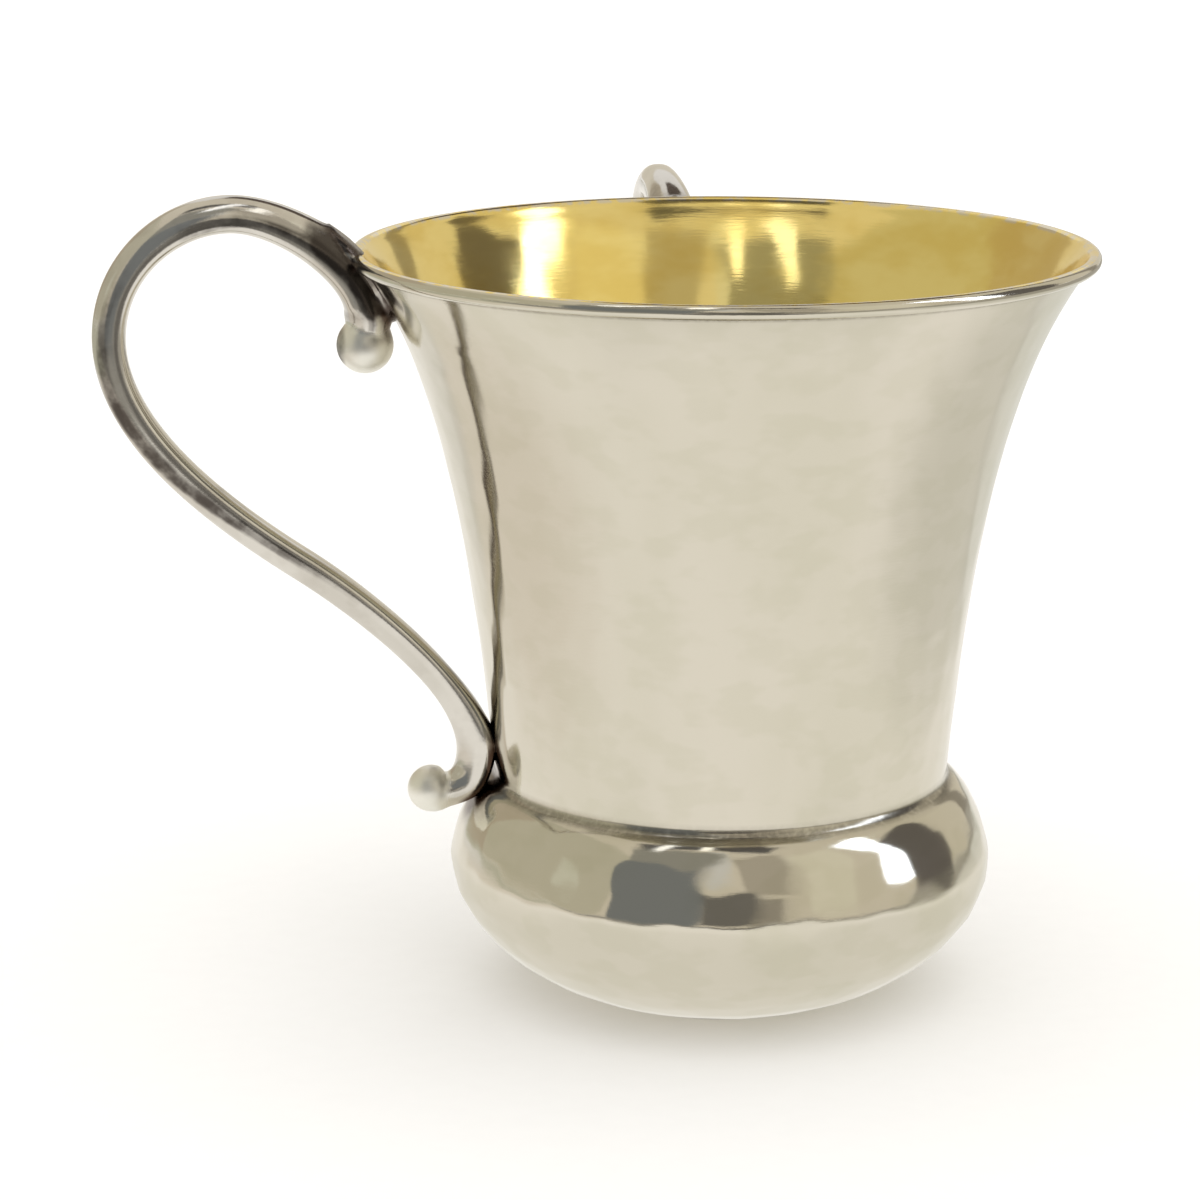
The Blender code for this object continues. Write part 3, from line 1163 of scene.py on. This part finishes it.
@dataclass
class ScrollHandle:
    """A cast S-scroll with a ball on each end, filed to sit on the vessel and soldered there."""

    name: str
    node: str
    turn: float
    profile: CupProfile
    crown_drop: float = 0.0
    # Share of the handle's tarnish and painted shade that shows.
    tarnish_and_shade_share: float = 1.0
    width_ratio: float = 1.2
    strap_squareness: float = 2.5
    strap_lean: float = -0.34
    sides: int = 40
    strap_steps: int = 180
    ball_steps: int = 18
    bite: float = 0.15 * MM
    fillet: float = 1.1 * MM
    solder_climb: float = 0.35
    solder_core: float = 0.2 * MM
    upper_ball: Ball = Ball(55.6, 104.1, 4.4)
    lower_ball: Ball = Ball(46.2, 32.8, 3.7)
    soft_blend: float = 0.5 * MM
    squaring: Span = (-0.5 * MM, 3.0 * MM)
    neck_angles: Span = (math.radians(62.0), math.radians(118.0))
    spine_steps: int = 120
    tool_columns: int = 240
    tool_spacing: float = 0.9 * MM
    tool_bead_steps: int = 16
    tool_clearance: float = 1.2
    wall_thinning: int = 6
    spine_thinning: int = 3
    sharp_edge: float = math.radians(40.0)
    worn: HandleWearAndShade = HandleWearAndShade()

    def knots(self) -> list[Knot]:
        """The knots from the upper ball, over the arch and down to the curled tail.

        Returns:
            The knots, each after the one before it along the strap.
        """
        drop = self.crown_drop
        return [
            Knot(self.upper_ball.radius, self.upper_ball.height, 99.0, 0.0, 2.2, 5.6),
            Knot(55.0, 109.2, 92.0, 2.0, 6.6, 7.5),
            Knot(75.9, 124.6 - drop, 0.0, 8.7, 9.1, 5.7),
            Knot(94.6, 105.4 - drop / 2.0, -90.0, 11.5, 14.5, 5.2),
            Knot(65.9, 69.7, -146.0, 14.8, 7.5, 5.0),
            Knot(45.6, 51.9, -130.0, 8.8, 5.8, 4.7),
            Knot(39.1, 39.2, -90.0, 3.8, 4.6, 6.0),
            Knot(self.lower_ball.radius, self.lower_ball.height, 16.0, 4.6, 0.0, 5.2),
        ]

    def spine(self) -> tuple[np.ndarray, np.ndarray]:
        """The middle line of the strap, and its thickness.

        Returns:
            Points in the profile plane and the thickness at each, both in metres.
        """
        knots = self.knots()
        points = [np.array([[knots[0].radius, knots[0].height]])]
        thickness = [np.array([knots[0].thickness])]
        for before, after in zip(knots[:-1], knots[1:]):
            start = np.array([before.radius, before.height])
            end = np.array([after.radius, after.height])
            pull = start + heading(math.radians(before.heading)) * before.reach_out
            push = end - heading(math.radians(after.heading)) * after.reach_in
            points.append(bezier(start, pull, push, end, self.spine_steps))
            share = eased(np.linspace(0.0, 1.0, self.spine_steps + 1)[1:], 0.0, 1.0)
            thickness.append(before.thickness + (after.thickness - before.thickness) * share)
        return np.concatenate(points) * MM, np.concatenate(thickness) * MM

    def sections(self) -> Sections:
        """Cross-sections from pole to pole: a ball, the tapered strap, and the other ball.

        Returns:
            The cross-sections in the profile plane.
        """
        line, thickness = self.spine()
        distance = travelled(line)
        length = distance[-1]
        upper, lower = self.upper_ball.size * MM, self.lower_ball.size * MM
        top_ends, low_starts = self.neck_angles
        top = upper * np.cos(np.linspace(math.pi, top_ends, self.ball_steps)[1:])
        low = length + lower * np.cos(np.linspace(low_starts, 0.0, self.ball_steps)[:-1])
        middle = np.linspace(top[-1], low[0], self.strap_steps + 2)[1:-1]
        places = np.concatenate([top, middle, low])
        along = tangents(line)
        inside = np.clip(places, 0.0, length)
        centres = np.stack([np.interp(inside, distance, line[:, axis]) for axis in (0, 1)], axis=1)
        facing = np.stack([np.interp(inside, distance, along[:, axis]) for axis in (0, 1)], axis=1)
        facing /= np.linalg.norm(facing, axis=1)[:, None]
        centres += facing * (places - inside)[:, None]
        half = np.interp(inside, distance, thickness) / 2.0
        top_ball = np.sqrt(np.clip(upper**2 - places**2, 0.0, None))
        low_ball = np.sqrt(np.clip(lower**2 - (places - length) ** 2, 0.0, None))
        ball = np.maximum(top_ball, low_ball)
        strap_share = np.where((places > 0.0) & (places < length), 1.0, 0.0)
        half_thick = self.soft_max(half * strap_share, ball)
        half_wide = self.soft_max(half * self.width_ratio * strap_share, ball)
        strap_shape = eased(np.minimum(places - upper, length - lower - places), *self.squaring)
        squareness = 2.0 + (self.strap_squareness - 2.0) * strap_shape
        lean = self.strap_lean * strap_shape
        return Sections(centres, facing, half_thick, half_wide, squareness, lean)

    def soft_max(self, first: np.ndarray, second: np.ndarray) -> np.ndarray:
        """The greater of two sizes, with a small hollow blend where they meet.

        Args:
            first: One size for each section, 0 where it has none.
            second: The other size for each section.

        Returns:
            The blended sizes.
        """
        gap = np.clip(self.soft_blend - np.abs(first - second), 0.0, None)
        touching = (first > 0.0) & (second > 0.0)
        return np.maximum(first, second) + np.where(touching, gap**2 / (4.0 * self.soft_blend), 0.0)

    def wall_distance(self, points: np.ndarray) -> tuple[np.ndarray, np.ndarray]:
        """How far points are from the vessel's outer skin.

        Args:
            points: Points in the handle's own frame, +X outwards.

        Returns:
            The distances, and the skin's outward direction next to each point.
        """
        line = self.profile.outer_line()[:: self.wall_thinning]
        flat = np.stack([np.hypot(points[:, 0], points[:, 1]), points[:, 2]], axis=1)
        nearest = nearest_on(line, flat)
        normal = sideways(line)[nearest]
        near = ((flat - line[nearest]) * normal).sum(axis=1)
        side = points[:, :2] / flat[:, :1]
        return near, np.concatenate([side * normal[:, :1], normal[:, 1:]], axis=1)

    def skin(self) -> np.ndarray:
        """Sweep the strap and draw it out into the solder where it meets the wall.

        Returns:
            The vertices, section by section, in the handle's own frame.
        """
        sections = self.sections()
        around = angles_round(self.sides)
        power = (2.0 / sections.squareness)[:, None]
        cosine, sine = np.cos(around)[None], np.sin(around)[None]
        even = np.sign(cosine) * np.abs(cosine) ** power
        lean = sections.lean[:, None]
        thick = (even + lean) / (1.0 + lean * even) * sections.half_thick[:, None]
        wide = np.sign(sine) * np.abs(sine) ** power * sections.half_wide[:, None]
        normal = turned_left(sections.along)
        x = sections.centres[:, :1] + normal[:, :1] * thick
        z = sections.centres[:, 1:] + normal[:, 1:] * thick
        grid = np.stack([x, wide, z], axis=-1)
        return grid + self.solder(grid, sections)

    def solder(self, grid: np.ndarray, sections: Sections) -> np.ndarray:
        """How far the solder spreads the strap along the wall.

        Args:
            grid: The swept vertices.
            sections: The cross-sections that they came from.

        Returns:
            A shift for each vertex.
        """
        near, out = self.wall_distance(grid.reshape(-1, 3))
        near, out = near.reshape(grid.shape[:2]), out.reshape(grid.shape)
        spread = grid.copy()
        spread[..., [0, 2]] -= sections.centres[:, None]
        spread -= (spread * out).sum(axis=2, keepdims=True) * out
        spread[..., [0, 2]] *= self.solder_climb
        length = np.linalg.norm(spread, axis=2, keepdims=True)
        share = 1.0 - np.clip(near / self.fillet, 0.0, 1.0)
        reach = self.fillet * (1.0 - np.sqrt(1.0 - np.minimum(share, 1.0) ** 2))
        return spread / np.maximum(length, self.solder_core) * reach[..., None]

    def mark_wear_and_shade(self, mesh: bpy.types.Mesh) -> None:
        """Store where grime and painted shade darken the joints, where tarnish, painted shade and painted
        dark reflections darken the strap, and where the balls are satin.

        Args:
            mesh: The filed handle, in its own frame.
        """
        places = vectors_of(mesh.vertices, "co")
        facing = vectors_of(mesh.vertex_normals, "vector")
        near, out = self.wall_distance(places)
        line = self.spine()[0][:: self.spine_thinning]
        distance = travelled(line)
        nearest = nearest_on(line, places[:, [0, 2]])
        from_top, from_tail = distance[nearest], distance[-1] - distance[nearest]
        toward_wall = -(facing * out).sum(axis=1)
        outer_side = (facing[:, [0, 2]] * sideways(line)[nearest]).sum(axis=1)
        # The tarnish mark sums real tarnish with painted shade and painted dark reflections.
        tarnish_and_shade = self.shoulder_tarnish_and_shade(from_top, outer_side)
        tarnish_and_shade = np.maximum(tarnish_and_shade, self.flank_painted_reflection(from_top, outer_side))
        tarnish_and_shade = np.maximum(tarnish_and_shade, self.wall_facing_painted_shade(from_top, from_tail, toward_wall))
        satin, upper_ball_painted_shade = self.ball_satin_and_shade(places)
        tarnish_and_shade = np.maximum(tarnish_and_shade * (1.0 - satin), upper_ball_painted_shade) * self.tarnish_and_shade_share
        add_float_attribute(mesh, "crevice", self.grime_and_shade(near, from_top))
        add_float_attribute(mesh, "tarnish_and_shade", tarnish_and_shade)
        add_float_attribute(mesh, "satin", satin)

    def grime_and_shade(self, near: np.ndarray, from_top: np.ndarray) -> np.ndarray:
        """The grime and painted shade in the two joints and in the neck above the upper ball.

        Args:
            near: Distance from the wall.
            from_top: Distance along the strap from the upper ball.

        Returns:
            How dark each place is, from 0 to 1.
        """
        worn = self.worn
        joint = faded(near, *worn.joint_span)
        place = self.upper_ball.size * worn.neck_place * MM
        neck = np.exp(-(((from_top - place) / worn.neck_width) ** 2))
        return np.clip(worn.joint_dirt_and_shade * joint + worn.neck_dirt_and_shade * neck, 0.0, worn.most_dirt_and_shade)

    def shoulder_tarnish_and_shade(self, from_top: np.ndarray, outer_side: np.ndarray) -> np.ndarray:
        """Tarnish and painted shade on the outer side of the strap, where it climbs from the ball over the
        lip.

        Args:
            from_top: Distance along the strap from the upper ball.
            outer_side: How far each place faces the outer side of the scroll, from -1 to 1.

        Returns:
            How dark each place is, from 0 to 1.
        """
        worn = self.worn
        low, high = (self.upper_ball.size * MM * share for share in worn.shoulder_start)
        shoulder = eased(from_top, low, high) * faded(from_top, *worn.shoulder_end)
        polished = worn.crest_polish * eased(outer_side, *worn.crest_faces)
        return shoulder * eased(outer_side, *worn.shoulder_faces) * (1.0 - polished)

    def wall_facing_painted_shade(
        self, from_top: np.ndarray, from_tail: np.ndarray, toward_wall: np.ndarray
    ) -> np.ndarray:
        """Painted shade low on the slope, on the face that looks straight at the wall.

        Args:
            from_top: Distance along the strap from the upper ball.
            from_tail: Distance along the strap from the lower ball.
            toward_wall: How far each place faces the wall, from -1 to 1.

        Returns:
            How dark each place is, from 0 to 1.
        """
        worn = self.worn
        hidden = eased(toward_wall, *worn.slope_faces) * eased(from_top, *worn.slope_start)
        return hidden * worn.slope_painted_shade * (1.0 + eased(from_tail, *worn.slope_end))

    def flank_painted_reflection(self, from_top: np.ndarray, outer_side: np.ndarray) -> np.ndarray:
        """The painted dark reflection and shade that runs along each flank of the strap.

        Args:
            from_top: Distance along the strap from the upper ball.
            outer_side: How far each place faces the outer side of the scroll, from -1 to 1.

        Returns:
            How dark each place is, from 0 to 1.
        """
        flank = self.worn.flank
        places = [point.place * MM for point in flank]
        middle = np.interp(from_top, places, [point.middle for point in flank])
        breadth = np.interp(from_top, places, [point.breadth for point in flank])
        strength = np.interp(from_top, places, [point.strength for point in flank])
        return strength * faded(np.abs(outer_side - middle) / breadth, *self.worn.flank_edge)

    def ball_satin_and_shade(self, places: np.ndarray) -> tuple[np.ndarray, np.ndarray]:
        """The satin of the two balls, and the painted dark reflection and shade on the outer side of the
        upper one.

        Args:
            places: Points in the handle's own frame.

        Returns:
            How satin each place is, and how much painted shade it has, from 0 to 1.
        """
        worn = self.worn
        satin = np.zeros(len(places))
        for end in (self.upper_ball, self.lower_ball):
            centre = np.array([end.radius, 0.0, end.height]) * MM
            away = apart(places, centre)
            on_ball = faded(away, *((end.size + past) * MM for past in worn.satin_edge))
            if end is self.upper_ball:
                outward = (places[:, 0] - centre[0]) / away
                upper_ball_painted_shade = worn.rim_painted_shade * on_ball * eased(outward, *worn.rim_faces)
            satin = np.maximum(satin, on_ball)
        return satin, upper_ball_painted_shade

    def seat_tool(self) -> bpy.types.Object:
        """The vessel's outer form, a hair small, for filing the seats.

        Returns:
            A tool that isn't part of the cup.
        """
        profile = self.profile
        lip = profile.lip()
        roll = profile.bead_radius - self.bite
        bead = arc(lip, roll, math.pi / 2, profile.lip_slope - math.pi, self.tool_bead_steps)
        past = profile.clear_of_bead(profile.moved(-self.bite), roll * self.tool_clearance)
        line = np.concatenate([[lip + [0.0, roll]], bead, respaced(past, self.tool_spacing)])
        rings = turned_rings(line[:, :1], line[:, 1:], self.tool_columns)
        poles = [np.array([0.0, 0.0, line[0, 1]]), np.array([0.0, 0.0, line[-1, 1]])]
        return put_in_scene("seat_tool", ring_mesh("seat_tool", rings, poles))

    def build(self) -> bpy.types.Object:
        """Cast the handle, file its seats and turn it to its side of the cup.

        Returns:
            The finished piece.
        """
        grid = self.skin()
        rough = ring_mesh(self.name, grid, [grid[0].mean(axis=0), grid[-1].mean(axis=0)])
        piece = put_in_scene(self.name, rough)
        tool = self.seat_tool()
        filing = piece.modifiers.new("filing", "BOOLEAN")
        filing.operation = "DIFFERENCE"
        filing.solver = "EXACT"
        filing.object = tool
        evaluated = piece.evaluated_get(bpy.context.evaluated_depsgraph_get())
        filed = bpy.data.meshes.new_from_object(evaluated)
        piece.modifiers.clear()
        piece.data = filed
        bpy.data.meshes.remove(rough)
        bpy.data.objects.remove(tool, do_unlink=True)
        self.mark_wear_and_shade(filed)
        filed.transform(Matrix.Rotation(self.turn, 4, "Z"))
        filed.shade_smooth()
        filed.set_sharp_from_angle(angle=self.sharp_edge)
        return piece

    def dress(self, piece: bpy.types.Object) -> None:
        """Give the handle its metal and tie it to the frame.

        Args:
            piece: The handle.
        """
        piece.data.materials.clear()
        piece.data.materials.append(CAST_SILVER.make())
        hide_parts(self.node)
        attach(piece, BODY)


# --- The studio ------------------------------------------------------------------------------


@dataclass(frozen=True)
class Card:
    """A lit or dark card that stands round the cup, out of the camera's sight.

    Its azimuth is 0 towards -Y and 90 towards +X, and its sides are given in degrees as
    seen from the cup.
    """

    name: str
    azimuth: float
    elevation: float
    width: float
    height: float
    distance: float
    glow: Colour

    def direction(self) -> Vector:
        """Unit vector from the cup to the card."""
        a, e = math.radians(self.azimuth), math.radians(self.elevation)
        return Vector((math.sin(a) * math.cos(e), -math.cos(a) * math.cos(e), math.sin(e)))


@dataclass(frozen=True)
class Patch:
    """A patch of light or shade lying on the table, which fades out across its soft edges."""

    west: float
    south: float
    east: float
    north: float
    soft: float
    glow: Colour

    def cover(self, places: np.ndarray) -> np.ndarray:
        """How fully the patch covers the table.

        Args:
            places: Points on the table.

        Returns:
            A number for each point, from 0 to 1.
        """
        half = self.soft / 2.0
        across = eased(places[:, 0], self.west - half, self.west + half)
        across *= faded(places[:, 0], self.east - half, self.east + half)
        along = eased(places[:, 1], self.south - half, self.south + half)
        along *= faded(places[:, 1], self.north - half, self.north + half)
        return across * along


@dataclass(frozen=True)
class Screen:
    """A round screen with a lid that stands about the whole studio."""

    name: str
    radius: float
    height: float
    glow: Colour


@dataclass
class Studio:
    """The floor, the plain backdrop, the soft light and the camera."""

    daylight: Colour = (0.92, 0.91, 0.89)
    lamp_strength: float = 0.86
    lamp_spread: float = math.radians(100.0)
    lamp_lean: tuple[float, float, float] = (math.radians(14.0), math.radians(10.0), 0.0)
    floor_radius: float = 4.0
    floor_finish: PaperFinish = PaperFinish("floor_paper", (0.92, 0.91, 0.895), 0.08)
    backdrop: Screen = Screen("backdrop", 3.96, 5.0, (0.97, 0.965, 0.955))
    room: Screen = Screen("room", 6.0, 4.0, (0.70, 0.645, 0.535))
    ring_sides: int = 96
    camera_place: Vector = field(default_factory=lambda: Vector((-0.0845, -0.56839, 0.20322)))
    camera_aim: Vector = field(default_factory=lambda: Vector((-0.0189, 0.0033, 0.06189)))
    lens: float = 112.35
    sensor_width: float = 36.0
    nearest_seen: float = 0.01
    furthest_seen: float = 20.0
    middle: Vector = field(default_factory=lambda: Vector((0.0, 0.0, 0.06)))
    cards: tuple[Card, ...] = (
        Card("window", 75.5, 29.5, 11.5, 45.0, 1.50, (3.6, 3.9, 4.6)),
        Card("window_side_flag", 95.5, 18.0, 27.0, 46.0, 1.45, (0.15, 0.135, 0.125)),
        Card("left_wall", -96.0, 26.0, 76.0, 52.0, 1.70, (0.56, 0.53, 0.42)),
        Card("left_lamp", -78.0, 17.0, 12.0, 10.0, 1.60, (0.66, 0.65, 0.54)),
        Card("camera_flag", -35.2, 15.5, 37.0, 42.0, 0.490, (0.210, 0.220, 0.222)),
        Card("camera_flag_top", -34.0, 47.7, 33.0, 22.4, 0.561, (0.310, 0.303, 0.268)),
        Card("overhead_flag", -17.0, 71.0, 42.0, 11.0, 1.50, (0.12, 0.115, 0.11)),
        Card("overhead_flag_right", 9.0, 72.0, 18.0, 10.0, 1.48, (0.11, 0.10, 0.09)),
        Card("right_shade", 13.5, 38.0, 20.0, 36.0, 1.65, (0.46, 0.42, 0.345)),
        Card("right_panel", 42.0, 28.0, 24.0, 50.0, 1.68, (0.79, 0.745, 0.62)),
        Card("camera_lamp", -9.0, 45.5, 6.0, 32.0, 1.35, (0.68, 0.67, 0.64)),
        Card("side_lamp", -45.4, 63.1, 5.0, 23.0, 0.248, (1.5, 1.5, 1.5)),
        Card("front_lamp", -16.8, 65.4, 4.2, 20.0, 0.243, (1.6, 1.55, 1.45)),
        Card("front_stand", -4.0, 9.0, 24.0, 18.0, 0.50, (0.18, 0.17, 0.155)),
        Card("low_side_flag", 14.0, 6.5, 12.0, 16.0, 1.50, (0.34, 0.31, 0.26)),
        Card("back_window", 172.0, 27.0, 42.0, 18.0, 1.60, (0.84, 0.815, 0.78)),
        Card("back_window_side", -172.0, 46.0, 18.0, 22.0, 1.60, (0.84, 0.815, 0.78)),
        Card("back_flag_high", 161.0, 49.0, 36.0, 26.0, 1.55, (0.12, 0.095, 0.080)),
        Card("back_flag", 139.0, 18.0, 9.0, 40.0, 1.60, (0.32, 0.29, 0.24)),
        Card("back_left_wall", -146.0, 18.0, 34.0, 40.0, 1.60, (0.50, 0.44, 0.34)),
    )
    shade: Colour = (0.44, 0.415, 0.36)
    patches: tuple[Patch, ...] = (
        Patch(-3.0, -3.0, -0.13, -0.15, 0.06, (0.350, 0.335, 0.300)),
        Patch(-0.13, -3.0, 0.11, -0.24, 0.05, (0.170, 0.160, 0.145)),
        Patch(-3.0, -0.15, -0.30, 3.0, 0.10, (0.560, 0.550, 0.450)),
        Patch(-0.32, -0.15, 0.0, 0.16, 0.06, (0.830, 0.775, 0.695)),
        Patch(-0.32, 0.16, 0.0, 3.0, 0.06, (0.840, 0.820, 0.780)),
        Patch(0.0, -0.26, 0.27, 0.12, 0.06, (0.755, 0.735, 0.670)),
        Patch(0.0, 0.12, 0.27, 3.0, 0.06, (0.800, 0.790, 0.730)),
        Patch(-0.145, -0.265, 0.15, 3.0, 0.07, (0.970, 0.940, 0.885)),
        Patch(-0.08, -0.08, 0.08, 0.08, 0.05, (0.865, 0.840, 0.775)),
    )
    table_lift: float = 0.0003
    table_middle: float = 0.45
    table_middle_lines: int = 73
    table_outer_lines: tuple[float, ...] = (0.6, 0.9, 1.6, 2.8)

    def show_only_in_metal(self, thing: bpy.types.Object) -> None:
        """Hide a sheet from everything but reflections.

        Args:
            thing: The sheet.
        """
        thing.visible_camera = False
        thing.visible_diffuse = False
        thing.visible_shadow = False
        thing.visible_transmission = False
        thing.visible_volume_scatter = False

    def add_sheet(
        self, name: str, points: list[Vector], faces: list[tuple[int, ...]], material: bpy.types.Material
    ) -> bpy.types.Object:
        """Add a thin sheet that belongs to the studio.

        Args:
            name: Name of the sheet.
            points: Its points.
            faces: Its faces, as point numbers.
            material: What it is made of.

        Returns:
            The sheet.
        """
        mesh = bpy.data.meshes.new(name)
        mesh.from_pydata(points, [], faces)
        mesh.materials.append(material)
        sheet = put_in_scene(name, mesh)
        return sheet

    def add_card(self, card: Card) -> None:
        """Stand a card in the studio, facing the cup.

        Args:
            card: The card.
        """
        toward = card.direction()
        centre = self.middle + toward * card.distance
        right = toward.cross(Vector((0.0, 0.0, 1.0))).normalized()
        up = right.cross(toward)
        across = right * card.distance * math.tan(math.radians(card.width) / 2.0)
        upward = up * card.distance * math.tan(math.radians(card.height) / 2.0)
        corners = [
            centre - across - upward,
            centre + across - upward,
            centre + across + upward,
            centre - across + upward,
        ]
        finish = GlowFinish(card.name, card.glow)
        self.show_only_in_metal(self.add_sheet(card.name, corners, [(0, 1, 2, 3)], finish.make()))

    def add_table_light(self) -> None:
        """Lay the light and shade of the table a hair above the floor, to show only in the metal."""
        fine = np.linspace(-self.table_middle, self.table_middle, self.table_middle_lines)
        outer = np.array(self.table_outer_lines)
        lines = np.concatenate([-outer[::-1], fine, outer])
        count = len(lines)
        x, y = np.meshgrid(lines, lines)
        places = np.stack([x.ravel(), y.ravel(), np.full(count * count, self.table_lift)], axis=1)
        glow = np.tile(np.array([*self.shade, 1.0]), (count * count, 1))
        for patch in self.patches:
            cover = patch.cover(places)[:, None]
            glow = glow * (1.0 - cover) + np.array([*patch.glow, 1.0]) * cover
        faces = []
        for row in range(count - 1):
            for corner in range(row * count, row * count + count - 1):
                faces.append((corner, corner + 1, corner + count + 1, corner + count))
        finish = GlowFinish("table_light", self.shade, stored="table_glow")
        sheet = self.add_sheet("table_light", places.tolist(), faces, finish.make())
        attribute = sheet.data.color_attributes.new(name=finish.stored, type="FLOAT_COLOR", domain="POINT")
        attribute.data.foreach_set("color", glow.astype(np.float32).ravel())
        self.show_only_in_metal(sheet)

    def ring(self, radius: float) -> list[Vector]:
        """Points on a circle on the floor."""
        return [Vector((math.cos(a), math.sin(a), 0.0)) * radius for a in angles_round(self.ring_sides)]

    def add_floor(self) -> None:
        """Lay the pale floor."""
        ring = self.ring(self.floor_radius)
        self.add_sheet("floor", ring, [tuple(range(len(ring)))], self.floor_finish.make())

    def add_screen(self, screen: Screen) -> bpy.types.Object:
        """Stand a screen about the studio.

        Args:
            screen: The screen.

        Returns:
            Its sheet.
        """
        low = self.ring(screen.radius)
        high = [point + Vector((0.0, 0.0, screen.height)) for point in low]
        count = len(low)
        faces = [(n, n + count, (n + 1) % count + count, (n + 1) % count) for n in range(count)]
        faces.append(tuple(range(count, 2 * count)))
        finish = GlowFinish(screen.name, screen.glow)
        sheet = self.add_sheet(screen.name, low + high, faces, finish.make())
        sheet.visible_diffuse = False
        sheet.visible_shadow = False
        return sheet

    def add_light(self) -> None:
        """Light the room evenly, with one broad soft lamp overhead."""
        world = bpy.data.worlds.new("daylight")
        world.use_nodes = True
        world.node_tree.nodes["Background"].inputs["Color"].default_value = (*self.daylight, 1.0)
        bpy.context.scene.world = world
        lamp = bpy.data.lights.new("overhead", "SUN")
        lamp.energy = self.lamp_strength
        lamp.angle = self.lamp_spread
        overhead = put_in_scene("overhead", lamp)
        overhead.rotation_euler = self.lamp_lean
        overhead.visible_glossy = False
        backdrop = self.add_screen(self.backdrop)
        backdrop.visible_glossy = False
        room = self.add_screen(self.room)
        room.visible_camera = False

    def add_camera(self) -> None:
        """Set up the camera in front of the cup and a little above it."""
        data = bpy.data.cameras.new("camera")
        data.lens = self.lens
        data.sensor_width = self.sensor_width
        data.clip_start = self.nearest_seen
        data.clip_end = self.furthest_seen
        camera = put_in_scene("camera", data)
        camera.location = self.camera_place
        camera.rotation_euler = (self.camera_aim - self.camera_place).to_track_quat("-Z", "Y").to_euler()
        bpy.context.scene.camera = camera

    def build(self) -> None:
        """Set up the whole studio."""
        self.add_floor()
        for card in self.cards:
            self.add_card(card)
        self.add_table_light()
        self.add_light()
        self.add_camera()
        bpy.context.scene.view_settings.view_transform = "Standard"


def main() -> None:
    """Build the cup piece by piece, then the studio round it."""
    logging.basicConfig(level=logging.INFO, format="%(name)s: %(message)s")
    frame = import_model()
    LOG.info("frame has the nodes %s", ", ".join(sorted(frame["nodes"])))

    profile = CupProfile()
    side_turn, back_turn = math.pi, math.pi / 2
    seat_stains_and_shade = []
    # Darken the wall round both seats of each handle: soldering stain with painted shade.
    for turn in (side_turn, back_turn):
        seat_stains_and_shade.append(SeatStainAndShade(turn, height=113.0 * MM, half_width=12.5 * MM, half_height=14.0 * MM))
        seat_stains_and_shade.append(
            SeatStainAndShade(turn, height=35.5 * MM, half_width=11.0 * MM, half_height=10.5 * MM, heart=0.32)
        )
    for part in (
        CupBody(profile, tuple(seat_stains_and_shade)),
        ScrollHandle("scroll_handle_side", "handle_side", side_turn, profile),
        ScrollHandle(
            "scroll_handle_back", "handle_back", back_turn, profile, crown_drop=6.0, tarnish_and_shade_share=0.35
        ),
    ):
        piece = part.build()
        part.dress(piece)
        LOG.info("%s: %d faces", piece.name, len(piece.data.polygons))

    Studio().build()


if __name__ == "__main__":
    main()
